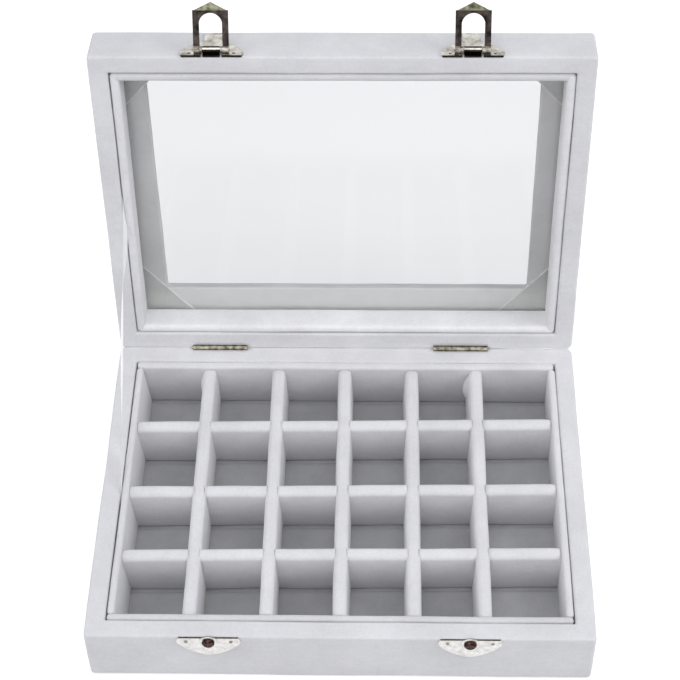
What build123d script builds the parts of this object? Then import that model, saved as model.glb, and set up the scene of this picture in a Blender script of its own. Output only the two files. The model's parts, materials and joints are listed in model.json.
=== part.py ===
"""Velvet-covered jewelry display tray with a hinged glass lid.

Millimetres, +Z up. The origin is the centre of the underside and the front faces -Y.
The lid is modelled open, as it rests on its ribbon stay, and the hasps lean back from it.
Each lid piece is first measured with the lid closed, then placed by in_lid().
"""

import os
from math import cos, radians, sin

from build123d import *

os.makedirs("parts", exist_ok=True)

# Case, outside sizes with the lid closed
case_width = 200.0
case_depth = 150.0
base_height = 28.0
lid_height = 19.0
rim_gap = 0.3
corner_round = 1.5

# Wall boards, velvet included
wall_thickness = 7.8
rim_outer_round = 1.2
rim_inner_round = 0.8
foot_round = 0.6

# Floor of the base
underside_cover_thickness = 0.5
underside_cover_margin = 5.0
floor_panel_thickness = 2.7
floor_pad_thickness = 1.0
panel_clearance = 0.1

# Tray liners, which stand a narrow gap inside the walls
tray_clearance = 0.5
liner_thickness = 2.8
liner_drop = 0.3
liner_round = 1.0

# Dividers, half lapped where they cross
long_divider_count = 5
long_divider_thickness = 4.4
long_divider_round = 1.8
long_divider_drift = (1.2, 1.2, 0.0, -1.1, -3.5)
cross_divider_count = 3
cross_divider_thickness = 3.6
cross_divider_round = 1.5
cross_divider_drift = (-1.7, -2.5, -0.5)
divider_drop = 1.0
divider_corner_round = 4.0
divider_end_clearance = 0.2
lap_clearance = 0.1

# Lid frame, glass and liners
window_frame_thickness = 3.6
window_frame_round = 1.4
window_side_border = 21.5
window_end_border = 21.2
window_front_drift = 0.9
window_edge_round = 1.0
corner_patch_thickness = 0.4
corner_patch_slope = 1.15
glass_thickness = 2.0
glass_clearance = 0.5
lid_liner_thickness = 3.4
lid_liner_drop = 0.3
lid_liner_round = 1.4

# Butt hinges on the back
hinge_spacing = 106.5
hinge_drift = -2.35
hinge_length = 24.0
hinge_leaf_height = 8.0
hinge_leaf_thickness = 0.7
hinge_offset = 0.2
hinge_knuckle_radius = 1.25
hinge_recess_clearance = 0.2
hinge_pin_radius = 0.45
hinge_pin_overhang = 0.2
hinge_knuckle_gap = 0.15
hinge_nail_spacing = 16.0
hinge_nail_height = 5.2
lid_open_angle = 97.4

# Catches on the front
catch_spacing = 102.0
plate_thickness = 0.7
plate_width = 25.0
plate_edge_width = 23.4
plate_tip_drop = 2.2
plate_cusp_width = 23.2
plate_cusp_drop = 4.5
plate_belly_width = 14.4
plate_belly_drop = 8.7
plate_foot_width = 4.0
plate_foot_drop = 11.3
plate_drop = 11.8
plate_nail_spacing = 17.6
plate_nail_drop = 2.3
boss_radius = 3.6
boss_drop = 2.0
boss_height = 0.6
boss_bevel = 0.3
stud_head_radius = 2.5
stud_crown_bevel = 0.7
stud_head_height = 1.2
stud_shank_radius = 1.0
stud_shank_length = 5.0

# Hasps on the lid's front
hasp_pivot_height = 2.4
hasp_pivot_proud = 2.1
hasp_tongue_width = 7.0
hasp_tongue_height = 17.0
hasp_tongue_round = 0.8
hasp_knuckle_radius = 1.35
hasp_web_width = 1.8
hasp_slit_width = 0.7
hasp_slit_height = 4.0
hasp_knuckle_length = 6.8
hasp_knuckle_gap = 0.2
hasp_pin_radius = 0.7
hasp_pin_overhang = 0.2
hasp_lean = 20.0
loop_width = 13.9
loop_leg_width = 2.45
loop_thickness = 1.1
loop_eye_radius = 1.25
loop_bend_reach = 14.8
loop_arch_reach = 14.3
loop_arch_rise = 3.8
loop_tip_height = 3.7
loop_tip_bend = 30.0

# Nails and pins
nail_shank_radius = 0.45
nail_shank_length = 5.0
nail_head_radius = 0.8
nail_head_height = 0.3
nail_head_taper = 30.0
peg_sides = 8
nail_play = 0.05
pin_play = 0.05

# Ribbon stay at the left, from one gap behind a liner to the other
ribbon_width = 10.0
ribbon_thickness = 0.4
ribbon_y = 2.0
ribbon_tuck = 10.0

# Values that several pieces share
inner_width = case_width - 2 * wall_thickness
inner_depth = case_depth - 2 * wall_thickness
tray_width = inner_width - 2 * tray_clearance
tray_depth = inner_depth - 2 * tray_clearance
cell_field_width = tray_width - 2 * liner_thickness
cell_field_depth = tray_depth - 2 * liner_thickness
tray_floor = underside_cover_thickness + floor_panel_thickness + floor_pad_thickness
divider_top = base_height - divider_drop
lap_height = (tray_floor + divider_top) / 2
lid_rim = base_height + rim_gap
lid_wall_height = lid_height - window_frame_thickness
lid_ledge = lid_rim + lid_wall_height
glass_top = lid_ledge - corner_patch_thickness
glass_bottom = glass_top - glass_thickness
window_width = case_width - 2 * window_side_border
window_depth = case_depth - 2 * window_end_border
hinge_y = case_depth / 2 + hinge_offset
hinge_z = base_height + rim_gap / 2
hinge_places = (hinge_drift - hinge_spacing / 2, hinge_drift + hinge_spacing / 2)
catch_places = (-catch_spacing / 2, catch_spacing / 2)
side_names = ("left", "right")
nail_hole_radius = nail_shank_radius + nail_play
nail_hole_depth = nail_shank_length + 2 * nail_play
stud_hole_radius = stud_shank_radius + nail_play
stud_hole_depth = stud_shank_length + 2 * nail_play
hinge_bore_radius = hinge_pin_radius + pin_play
hinge_recess_radius = hinge_knuckle_radius + hinge_recess_clearance
hinge_recess_length = hinge_length + 2 * (hinge_pin_overhang + hinge_recess_clearance)
hasp_bore_radius = hasp_pin_radius + pin_play
front_nails = [
    (x + side * plate_nail_spacing / 2, -plate_nail_drop) for x in catch_places for side in (-1, 1)
]
rear_nails = [
    (x + side * hinge_nail_spacing / 2, -hinge_nail_height) for x in hinge_places for side in (-1, 1)
]
base_rear_nails = [(-x, y) for x, y in rear_nails]
front_studs = [(x, -boss_drop) for x in catch_places]

# The closed lid's coordinates, carried round the hinge to where the open lid rests
lid_frame = Plane(
    Location((0, hinge_y, hinge_z), (-lid_open_angle, 0, 0)) * Location((0, -hinge_y, -hinge_z))
)


def in_lid(plane):
    """The plane of the closed lid, carried along with the open lid."""
    return Plane(lid_frame.location * plane.location)


def turned(plane, angle):
    """The plane turned about its own normal."""
    return Plane(plane.location * Location((0, 0, 0), (0, 0, angle)))


def keep(piece, label):
    """Name a finished piece and write its file."""
    piece.part.label = label
    export_step(piece.part, f"parts/{label}.step")


# Boards with mitred ends, for the walls and the lid's liners
def long_edges(face, plane):
    """The face's edges along the board, outermost first."""
    across = Axis(plane.origin, plane.y_dir)
    return face.edges().filter_by(Axis((0, 0, 0), plane.x_dir)).sort_by(across)


def mitred_board(plane, length, reach, thickness, height, rim_rounds, corner=0, foot=0, holes=()):
    """A board whose outer face is reach in front of the plane's origin, rim at the far end."""
    outer_round, inner_round = rim_rounds
    up = Axis(plane.origin, plane.z_dir)
    outer_face = Plane(
        plane.location * Plane(origin=(0, -reach, height), x_dir=(1, 0, 0), z_dir=(0, -1, 0)).location
    )
    with BuildPart() as board:
        with BuildSketch(plane):
            with BuildLine():
                Polyline(
                    (-length / 2, -reach),
                    (length / 2, -reach),
                    (length / 2 - thickness, thickness - reach),
                    (thickness - length / 2, thickness - reach),
                    close=True,
                )
            make_face()
            if corner > 0:
                RectangleRounded(length, 2 * reach, corner, mode=Mode.INTERSECT)
        extrude(amount=height)
        fillet(long_edges(board.faces().sort_by(up)[-1], plane)[-1], radius=inner_round)
        rim_face = board.faces().sort_by(up)[-1]
        rim_corners = rim_face.edges().filter_by(GeomType.CIRCLE)
        fillet([long_edges(rim_face, plane)[0], *rim_corners], radius=outer_round)
        if foot > 0:
            foot_face = board.faces().sort_by(up)[0]
            foot_corners = foot_face.edges().filter_by(GeomType.CIRCLE)
            fillet([long_edges(foot_face, plane)[0], *foot_corners], radius=foot)
        for places, radius, depth in holes:
            with BuildSketch(outer_face):
                with Locations(*places):
                    RegularPolygon(radius, peg_sides)
            extrude(amount=-depth, mode=Mode.SUBTRACT)
    return board


def with_hinge_recesses(board):
    """The board with a trough at each hinge, where the barrel turns."""
    with BuildPart() as recessed:
        add(board.part)
        with Locations(
            *[Plane(origin=(x, hinge_y, hinge_z), x_dir=(0, 1, 0), z_dir=(1, 0, 0)) for x in hinge_places]
        ):
            Cylinder(hinge_recess_radius, hinge_recess_length, mode=Mode.SUBTRACT)
    return recessed


def board_sizes(turn, width, depth):
    """Length and reach of the board on the side that a turn about Z faces."""
    if turn % 180 == 0:
        return width, depth / 2
    return depth, width / 2


# Base walls
base_turns = {"front": 0, "right": 90, "rear": 180, "left": 270}
base_wall_plane = Plane.XY.offset(underside_cover_thickness)
base_wall_height = base_height - underside_cover_thickness
front_nail_holes = (front_nails, nail_hole_radius, nail_hole_depth)
base_rear_nail_holes = (base_rear_nails, nail_hole_radius, nail_hole_depth)
lid_rear_nail_holes = (rear_nails, nail_hole_radius, nail_hole_depth)
stud_holes = (front_studs, stud_hole_radius, stud_hole_depth)
base_wall_holes = {"front": (front_nail_holes, stud_holes), "rear": (base_rear_nail_holes,)}
for side, turn in base_turns.items():
    length, reach = board_sizes(turn, case_width, case_depth)
    wall = mitred_board(
        turned(base_wall_plane, turn), length, reach, wall_thickness, base_wall_height,
        (rim_outer_round, rim_inner_round), corner_round, foot_round, base_wall_holes.get(side, ()),
    )
    if side == "rear":
        wall = with_hinge_recesses(wall)
    keep(wall, f"base_{side}_wall")

# Underside cover, the sheet that the box stands on
with BuildPart() as underside_cover:
    with BuildSketch(Plane.XY):
        RectangleRounded(
            case_width - 2 * underside_cover_margin, case_depth - 2 * underside_cover_margin, corner_round
        )
    extrude(amount=underside_cover_thickness)
keep(underside_cover, "underside_cover")

# Floor panel, let in between the walls
with BuildPart() as base_floor_panel:
    with BuildSketch(base_wall_plane):
        Rectangle(inner_width - 2 * panel_clearance, inner_depth - 2 * panel_clearance)
    extrude(amount=floor_panel_thickness)
keep(base_floor_panel, "base_floor_panel")

# Velvet pad on the floor of the tray
with BuildPart() as tray_floor_pad:
    with BuildSketch(Plane.XY.offset(tray_floor - floor_pad_thickness)):
        Rectangle(tray_width, tray_depth)
    extrude(amount=floor_pad_thickness)
keep(tray_floor_pad, "tray_floor_pad")

# Tray liners: front and rear run full length, left and right stand between them
liner_height = base_height - liner_drop - tray_floor
liner_layout = {
    "front": (0, -(tray_depth - liner_thickness) / 2, tray_width, 0),
    "rear": (0, (tray_depth - liner_thickness) / 2, tray_width, 0),
    "left": (-(tray_width - liner_thickness) / 2, 0, cell_field_depth, 90),
    "right": ((tray_width - liner_thickness) / 2, 0, cell_field_depth, 90),
}
for side, (x, y, length, turn) in liner_layout.items():
    plane = turned(Plane(origin=(x, y, tray_floor)), turn)
    with BuildPart() as liner:
        with BuildSketch(plane):
            Rectangle(length, liner_thickness)
        extrude(amount=liner_height)
        top_edges = liner.faces().sort_by(Axis.Z)[-1].edges()
        fillet(top_edges.filter_by(Axis((0, 0, 0), plane.x_dir)), radius=liner_round)
    keep(liner, f"tray_{side}_liner")


# Dividers, each an upright board with rounded upper corners and a rounded top
def even_places(field, count, thickness, drift):
    """Centres that share the field evenly, each moved by its own drift."""
    pitch = (field + thickness) / (count + 1)
    first = -(field + thickness) / 2
    return [first + (i + 1) * pitch + drift[i] for i in range(count)]


long_places = even_places(
    cell_field_width, long_divider_count, long_divider_thickness, long_divider_drift
)
cross_places = even_places(
    cell_field_depth, cross_divider_count, cross_divider_thickness, cross_divider_drift
)


def divider(plane, length, thickness, top_round, slots, slot_width, slots_from_top):
    """A board in the plane's XY, its foot on the tray floor and its slots at the crossings."""
    height = divider_top - tray_floor
    corner_x = length / 2 - divider_corner_round
    corner_y = divider_top - divider_corner_round
    with BuildPart() as board:
        with BuildSketch(plane.offset(-thickness / 2)):
            with Locations((0, tray_floor)):
                Rectangle(length, height, align=(Align.CENTER, Align.MIN))
        extrude(amount=thickness)
        top_edges = board.faces().sort_by(Axis.Z)[-1].edges()
        fillet(top_edges.filter_by(Axis((0, 0, 0), plane.x_dir)), radius=top_round)
        with BuildSketch(plane.offset(-thickness)):
            with Locations((-length / 2, divider_top), (length / 2, divider_top)):
                Rectangle(2 * divider_corner_round, 2 * divider_corner_round)
            with Locations((-corner_x, corner_y), (corner_x, corner_y)):
                Circle(divider_corner_round, mode=Mode.SUBTRACT)
        extrude(amount=2 * thickness, mode=Mode.SUBTRACT)
        with BuildSketch(plane.offset(-thickness)):
            cut_foot = lap_height if slots_from_top else tray_floor - lap_clearance
            cut_top = divider_top + lap_clearance if slots_from_top else lap_height
            with Locations(*[(x, (cut_foot + cut_top) / 2) for x in slots]):
                Rectangle(slot_width, cut_top - cut_foot)
        extrude(amount=2 * thickness, mode=Mode.SUBTRACT)
    return board


for number, x in enumerate(long_places, start=1):
    board = divider(
        Plane(origin=(x, 0, 0), x_dir=(0, 1, 0), z_dir=(1, 0, 0)),
        cell_field_depth - 2 * divider_end_clearance,
        long_divider_thickness,
        long_divider_round,
        cross_places,
        cross_divider_thickness + 2 * lap_clearance,
        slots_from_top=False,
    )
    keep(board, f"divider_long_{number}")

for number, y in enumerate(cross_places, start=1):
    board = divider(
        Plane(origin=(0, y, 0), x_dir=(1, 0, 0), z_dir=(0, -1, 0)),
        cell_field_width - 2 * divider_end_clearance,
        cross_divider_thickness,
        cross_divider_round,
        long_places,
        long_divider_thickness + 2 * lap_clearance,
        slots_from_top=True,
    )
    keep(board, f"divider_cross_{number}")

# Lid walls, sketched where they meet the window frame and extruded down to the rim
lid_wall_plane = in_lid(Plane(origin=(0, 0, lid_ledge), x_dir=(1, 0, 0), z_dir=(0, 0, -1)))
lid_turns = {"rear": 0, "right": 90, "front": 180, "left": 270}
lid_wall_holes = {"front": (front_nail_holes,), "rear": (lid_rear_nail_holes,)}
for side, turn in lid_turns.items():
    length, reach = board_sizes(turn, case_width, case_depth)
    wall = mitred_board(
        turned(lid_wall_plane, turn), length, reach, wall_thickness, lid_wall_height,
        (rim_outer_round, rim_inner_round), corner_round, holes=lid_wall_holes.get(side, ()),
    )
    if side == "rear":
        wall = with_hinge_recesses(wall)
    keep(wall, f"lid_{side}_wall")

# Window frame, the board that closes the lid's top around the glass
with BuildPart() as lid_window_frame:
    with BuildSketch(in_lid(Plane.XY.offset(lid_ledge))):
        RectangleRounded(case_width, case_depth, corner_round)
        with Locations((0, -window_front_drift)):
            Rectangle(window_width, window_depth, mode=Mode.SUBTRACT)
    extrude(amount=window_frame_thickness)
    top_face, bottom_face = (
        lid_window_frame.faces().sort_by(Axis(lid_frame.origin, lid_frame.z_dir))[i] for i in (-1, 0)
    )
    fillet(top_face.outer_wire().edges(), radius=window_frame_round)
    window_rims = lid_window_frame.edges().filter_by(
        lambda edge: abs(lid_frame.to_local_coords(edge.center()).X) < window_width / 2 + window_edge_round
        and abs(lid_frame.to_local_coords(edge.center()).Y + window_front_drift)
        < window_depth / 2 + window_edge_round
    )
    flat_rims = window_rims.filter_by(
        lambda edge: abs(edge.tangent_at(0.5).dot(lid_frame.z_dir)) < 0.1
    )
    fillet(flat_rims, radius=window_edge_round)
keep(lid_window_frame, "lid_window_frame")

# Velvet corner patches under the glass, cut so that they just reach the window's corners
patch_corner_x = inner_width / 2 - glass_clearance
patch_corner_y = inner_depth / 2 - glass_clearance
patch_reach_x = patch_corner_x - window_width / 2
patch_reach_y = patch_corner_y - window_depth / 2
with BuildPart() as window_corner_patches:
    with BuildSketch(in_lid(Plane.XY.offset(glass_top))):
        for way_x in (-1, 1):
            for way_y in (-1, 1):
                reach_y = patch_reach_y + way_y * window_front_drift
                leg_x = patch_reach_x + reach_y / corner_patch_slope
                leg_y = leg_x * corner_patch_slope
                with BuildLine():
                    Polyline(
                        (way_x * patch_corner_x, way_y * patch_corner_y),
                        (way_x * (patch_corner_x - leg_x), way_y * patch_corner_y),
                        (way_x * patch_corner_x, way_y * (patch_corner_y - leg_y)),
                        close=True,
                    )
                make_face()
    extrude(amount=corner_patch_thickness)
keep(window_corner_patches, "window_corner_patches")

# Glass pane, held between the corner patches and the liners
with BuildPart() as glass_pane:
    with BuildSketch(in_lid(Plane.XY.offset(glass_bottom))):
        Rectangle(inner_width - 2 * glass_clearance, inner_depth - 2 * glass_clearance)
    extrude(amount=glass_thickness)
    chamfer(glass_pane.edges(), length=corner_patch_thickness / 2)
keep(glass_pane, "glass_pane")

# Lid liners, mitred strips that press the glass against the frame
lid_liner_plane = in_lid(Plane(origin=(0, 0, glass_bottom), x_dir=(1, 0, 0), z_dir=(0, 0, -1)))
lid_liner_height = glass_bottom - lid_rim - lid_liner_drop
for side, turn in lid_turns.items():
    length, reach = board_sizes(turn, tray_width, tray_depth)
    liner = mitred_board(
        turned(lid_liner_plane, turn), length, reach, lid_liner_thickness, lid_liner_height,
        (lid_liner_round, lid_liner_round),
    )
    keep(liner, f"lid_{side}_liner")


# Nails with a low bevelled head, each driven through a fitting into a wall
def nail_group(plane, places, shank_length):
    """Nails standing in the plane, heads outward."""
    with BuildPart() as nail:
        with BuildSketch(Plane.XY):
            RegularPolygon(nail_shank_radius, peg_sides)
        extrude(amount=-shank_length)
        with BuildSketch(Plane.XY):
            RegularPolygon(nail_head_radius, peg_sides)
        extrude(amount=nail_head_height, taper=nail_head_taper)
    with BuildPart(plane) as group:
        with Locations(*places):
            add(nail.part)
    return group


# Butt hinges: a leaf rolled into knuckles round a pin
hinge_knuckle_length = (hinge_length - 2 * hinge_knuckle_gap) / 3


def hinge_leaf(place, to_plane, way, notch_places):
    """A leaf on one side of the pin, with its knuckles notched at notch_places."""
    profile_plane = Plane(
        origin=(place - hinge_length / 2, hinge_y, hinge_z), x_dir=(0, 1, 0), z_dir=(1, 0, 0)
    )
    front_plane = Plane(origin=(place, hinge_y, hinge_z), x_dir=(1, 0, 0), z_dir=(0, -1, 0))
    leaf_start = way * rim_gap / 2
    leaf_end = way * (rim_gap / 2 + hinge_leaf_height)
    notch_reach = hinge_knuckle_radius + hinge_knuckle_gap
    with BuildPart() as leaf:
        with BuildSketch(to_plane(profile_plane)):
            with Locations((hinge_leaf_thickness / 2 - hinge_offset, (leaf_start + leaf_end) / 2)):
                Rectangle(hinge_leaf_thickness, hinge_leaf_height)
            Circle(hinge_knuckle_radius)
            Circle(hinge_bore_radius, mode=Mode.SUBTRACT)
        extrude(amount=hinge_length)
        with BuildSketch(to_plane(front_plane)):
            with Locations(*notch_places):
                Rectangle(hinge_knuckle_length + 2 * hinge_knuckle_gap, 2 * notch_reach)
        extrude(amount=notch_reach, both=True, mode=Mode.SUBTRACT)
        with BuildSketch(to_plane(front_plane)):
            with Locations(
                (-hinge_nail_spacing / 2, way * (rim_gap / 2 + hinge_nail_height)),
                (hinge_nail_spacing / 2, way * (rim_gap / 2 + hinge_nail_height)),
            ):
                RegularPolygon(nail_hole_radius, peg_sides)
        extrude(amount=hinge_leaf_thickness, both=True, mode=Mode.SUBTRACT)
    return leaf


def same_plane(plane):
    """Base pieces stay where they are measured."""
    return plane


outer_notch = (hinge_length - hinge_knuckle_length) / 2
for side, x in zip(side_names, hinge_places):
    keep(hinge_leaf(x, same_plane, -1, [(0, 0)]), f"hinge_{side}_base_leaf")
    keep(hinge_leaf(x, in_lid, 1, [(-outer_notch, 0), (outer_notch, 0)]), f"hinge_{side}_lid_leaf")
    with BuildPart(Plane(origin=(x, hinge_y, hinge_z), x_dir=(0, 1, 0), z_dir=(1, 0, 0))) as hinge_pin:
        Cylinder(hinge_pin_radius, hinge_length + 2 * hinge_pin_overhang)
    keep(hinge_pin, f"hinge_{side}_pin")

# Rear nails are placed from the rim that their leaf is nailed beside; X is mirrored from behind
leaf_face = case_depth / 2 + hinge_leaf_thickness
base_leaf_plane = Plane(origin=(0, leaf_face, base_height), x_dir=(-1, 0, 0), z_dir=(0, 1, 0))
lid_leaf_plane = in_lid(Plane(origin=(0, leaf_face, lid_rim), x_dir=(1, 0, 0), z_dir=(0, 1, 0)))
rear_nail_length = nail_shank_length + hinge_leaf_thickness
keep(nail_group(base_leaf_plane, base_rear_nails, rear_nail_length), "hinge_base_nails")
keep(nail_group(lid_leaf_plane, rear_nails, rear_nail_length), "hinge_lid_nails")

# Catch and hasp plates share a batwing outline, drawn from the rim edge
plate_nail_places = [
    (side * plate_nail_spacing / 2, -plate_nail_drop) for side in (-1, 1)
]


def batwing():
    """The plate's outline, from its straight edge down."""
    with BuildSketch() as outline:
        with BuildLine():
            edge = Line((0, 0), (plate_edge_width / 2, 0))
            tip = ThreePointArc(
                edge @ 1, (plate_width / 2, -plate_tip_drop), (plate_cusp_width / 2, -plate_cusp_drop)
            )
            belly = ThreePointArc(
                tip @ 1,
                (plate_belly_width / 2, -plate_belly_drop),
                (plate_foot_width / 2, -plate_foot_drop),
            )
            Line(belly @ 1, (0, -plate_drop))
            mirror(about=Plane.YZ)
        make_face()
    return outline.sketch


def catch_plate(place):
    """The plate on the base, embossed round its stud."""
    plane = Plane(origin=(place, -case_depth / 2, base_height), x_dir=(1, 0, 0), z_dir=(0, -1, 0))
    with BuildPart() as plate:
        with BuildSketch(plane):
            add(batwing())
            with Locations(*plate_nail_places):
                RegularPolygon(nail_hole_radius, peg_sides, mode=Mode.SUBTRACT)
        extrude(amount=plate_thickness)
        with BuildSketch(plane.offset(plate_thickness)):
            with Locations((0, -boss_drop)):
                Circle(boss_radius)
        extrude(amount=boss_height)
        boss_rim = plate.faces().sort_by(Axis(plane.origin, plane.z_dir))[-1].edges()
        chamfer(boss_rim, length=boss_bevel)
        with BuildSketch(plane):
            with Locations((0, -boss_drop)):
                RegularPolygon(stud_hole_radius, peg_sides)
        extrude(amount=plate_thickness + boss_height, mode=Mode.SUBTRACT)
    return plate


def catch_stud(place):
    """The headed stud that the hasp drops over."""
    seat = plate_thickness + boss_height
    plane = Plane(
        origin=(place, -case_depth / 2 - seat, base_height - boss_drop), x_dir=(1, 0, 0), z_dir=(0, -1, 0)
    )
    with BuildPart() as stud:
        with BuildSketch(plane):
            RegularPolygon(stud_shank_radius, peg_sides)
        extrude(amount=-stud_shank_length - seat)
        with BuildSketch(plane):
            Circle(stud_head_radius)
        extrude(amount=stud_head_height)
        crown = stud.faces().sort_by(Axis(plane.origin, plane.z_dir))[-1].edges()
        chamfer(crown, length=stud_crown_bevel)
    return stud


for side, x in zip(side_names, catch_places):
    keep(catch_plate(x), f"catch_{side}_plate")
    keep(catch_stud(x), f"catch_{side}_stud")

front_nail_length = nail_shank_length + plate_thickness
plate_face = case_depth / 2 + plate_thickness
base_plate_plane = Plane(origin=(0, -plate_face, base_height), x_dir=(1, 0, 0), z_dir=(0, -1, 0))
lid_plate_plane = in_lid(Plane(origin=(0, -plate_face, lid_rim), x_dir=(-1, 0, 0), z_dir=(0, -1, 0)))
keep(nail_group(base_plate_plane, front_nails, front_nail_length), "catch_nails")
keep(nail_group(lid_plate_plane, front_nails, front_nail_length), "hasp_nails")

# Hasp plates, each slit from its edge to free the strap that is rolled into a knuckle
eye_length = loop_width / 2 - hasp_knuckle_length / 2 - hasp_knuckle_gap
slit_x = (hasp_knuckle_length + hasp_slit_width) / 2


def hasp_plate(place):
    """The plate on the lid; the plane's Y points from the lid's top to its rim."""
    face_plane = Plane(
        origin=(place, -case_depth / 2, lid_rim), x_dir=(-1, 0, 0), z_dir=(0, -1, 0)
    )
    knuckle_plane = Plane(
        origin=(place, -case_depth / 2 - hasp_pivot_proud, lid_rim + hasp_pivot_height),
        x_dir=(0, 1, 0),
        z_dir=(1, 0, 0),
    )
    with BuildPart() as plate:
        with BuildSketch(in_lid(face_plane)):
            add(batwing())
            with Locations((0, -hasp_tongue_height / 2)):
                RectangleRounded(hasp_tongue_width, hasp_tongue_height, hasp_tongue_round)
            with Locations((-slit_x, 0), (slit_x, 0)):
                Rectangle(hasp_slit_width, 2 * hasp_slit_height, mode=Mode.SUBTRACT)
            with Locations(*plate_nail_places):
                RegularPolygon(nail_hole_radius, peg_sides, mode=Mode.SUBTRACT)
        extrude(amount=plate_thickness)
        with BuildSketch(in_lid(knuckle_plane)):
            Circle(hasp_knuckle_radius)
            with Locations((hasp_pivot_proud / 2, 0)):
                Rectangle(hasp_pivot_proud, hasp_web_width)
        extrude(amount=hasp_knuckle_length / 2, both=True)
        with BuildSketch(in_lid(knuckle_plane)):
            Circle(hasp_bore_radius)
        extrude(amount=hasp_knuckle_length, both=True, mode=Mode.SUBTRACT)
    return plate


def hasp_pin(place):
    """The pin through the plate's knuckle and the loop's eyes."""
    plane = Plane(
        origin=(place, -case_depth / 2 - hasp_pivot_proud, lid_rim + hasp_pivot_height),
        x_dir=(0, 1, 0),
        z_dir=(1, 0, 0),
    )
    with BuildPart(in_lid(plane)) as pin:
        Cylinder(hasp_pin_radius, loop_width + 2 * hasp_pin_overhang)
    return pin


def hasp_loop(place):
    """The arched loop with its bent gable tip; the plane's Y runs from the eyes to the tip."""
    hinge_plane = in_lid(
        Plane(
            origin=(place, -case_depth / 2 - hasp_pivot_proud, lid_rim + hasp_pivot_height),
            x_dir=(1, 0, 0),
            z_dir=(0, -sin(radians(hasp_lean)), -cos(radians(hasp_lean))),
        )
    )
    tip_plane = Plane(
        hinge_plane.location * Location((0, loop_bend_reach, 0), (-loop_tip_bend, 0, 0))
    )
    side_plane = Plane(hinge_plane.location * Plane.YZ.location)
    window_half = loop_width / 2 - loop_leg_width
    arch_spring = loop_arch_reach - loop_arch_rise
    eye_middle = (loop_width - eye_length) / 2
    eye_start = eye_middle - eye_length / 2
    with BuildPart() as loop:
        with BuildSketch(hinge_plane.offset(-loop_thickness / 2)):
            with Locations((0, loop_bend_reach / 2)):
                Rectangle(loop_width, loop_bend_reach)
        extrude(amount=loop_thickness)
        with BuildSketch(tip_plane.offset(-loop_thickness / 2)):
            Polygon(
                (-loop_width / 2, 0), (loop_width / 2, 0), (0, loop_tip_height), align=None
            )
        extrude(amount=loop_thickness)
        with BuildSketch(Plane(side_plane.location * Location((loop_bend_reach, 0, 0)))):
            RegularPolygon(loop_thickness / 2, peg_sides)
        extrude(amount=loop_width / 2, both=True)
        with BuildSketch(hinge_plane.offset(-loop_thickness)):
            with BuildLine():
                left = Line((-window_half, arch_spring), (-window_half, -loop_eye_radius))
                foot = Line(left @ 1, (window_half, -loop_eye_radius))
                right = Line(foot @ 1, (window_half, arch_spring))
                ThreePointArc(right @ 1, (0, loop_arch_reach), left @ 0)
            make_face()
        extrude(amount=2 * loop_thickness, mode=Mode.SUBTRACT)
        for way in (-1, 1):
            with BuildSketch(side_plane.offset(way * eye_start)):
                Circle(loop_eye_radius)
            extrude(amount=way * eye_length)
        with BuildSketch(side_plane):
            Circle(hasp_bore_radius)
        extrude(amount=loop_width, both=True, mode=Mode.SUBTRACT)
    return loop


for side, x in zip(side_names, catch_places):
    keep(hasp_plate(x), f"hasp_{side}_plate")
    keep(hasp_pin(x), f"hasp_{side}_pin")
    keep(hasp_loop(x), f"hasp_{side}_loop")

# Ribbon stay, straight and tight in the gaps between the left walls and liners
ribbon_x = -(inner_width - tray_clearance) / 2
ribbon_foot = Vector(ribbon_x, ribbon_y, base_height)
ribbon_head = lid_frame.from_local_coords(Vector(ribbon_x, ribbon_y, lid_rim))
ribbon_way = (ribbon_head - ribbon_foot).normalized()
ribbon_length = (ribbon_head - ribbon_foot).length + 2 * ribbon_tuck
ribbon_plane = Plane(
    origin=(ribbon_foot + ribbon_head) * 0.5, x_dir=ribbon_way, z_dir=(1, 0, 0)
)
with BuildPart() as lid_stay_ribbon:
    with BuildSketch(ribbon_plane.offset(-ribbon_thickness / 2)):
        Rectangle(ribbon_length, ribbon_width)
    extrude(amount=ribbon_thickness)
keep(lid_stay_ribbon, "lid_stay_ribbon")

ribbon_slope = Vector(0, 1, 0).get_angle(ribbon_way)
print(f"ribbon {ribbon_length:.1f} mm long, {ribbon_slope:.1f} degrees above level")
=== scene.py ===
"""Velvet-covered jewelry display tray with a hinged glass lid, open on its ribbon stay.

Metres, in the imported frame: +Z up, front towards -Y, origin at the centre of the underside.
Lid pieces are built with the lid closed, from the closed boxes of its nodes, and then opened.
"""

import json
import math

import bpy
import numpy as np
from mathutils import Matrix, Vector, noise


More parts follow.
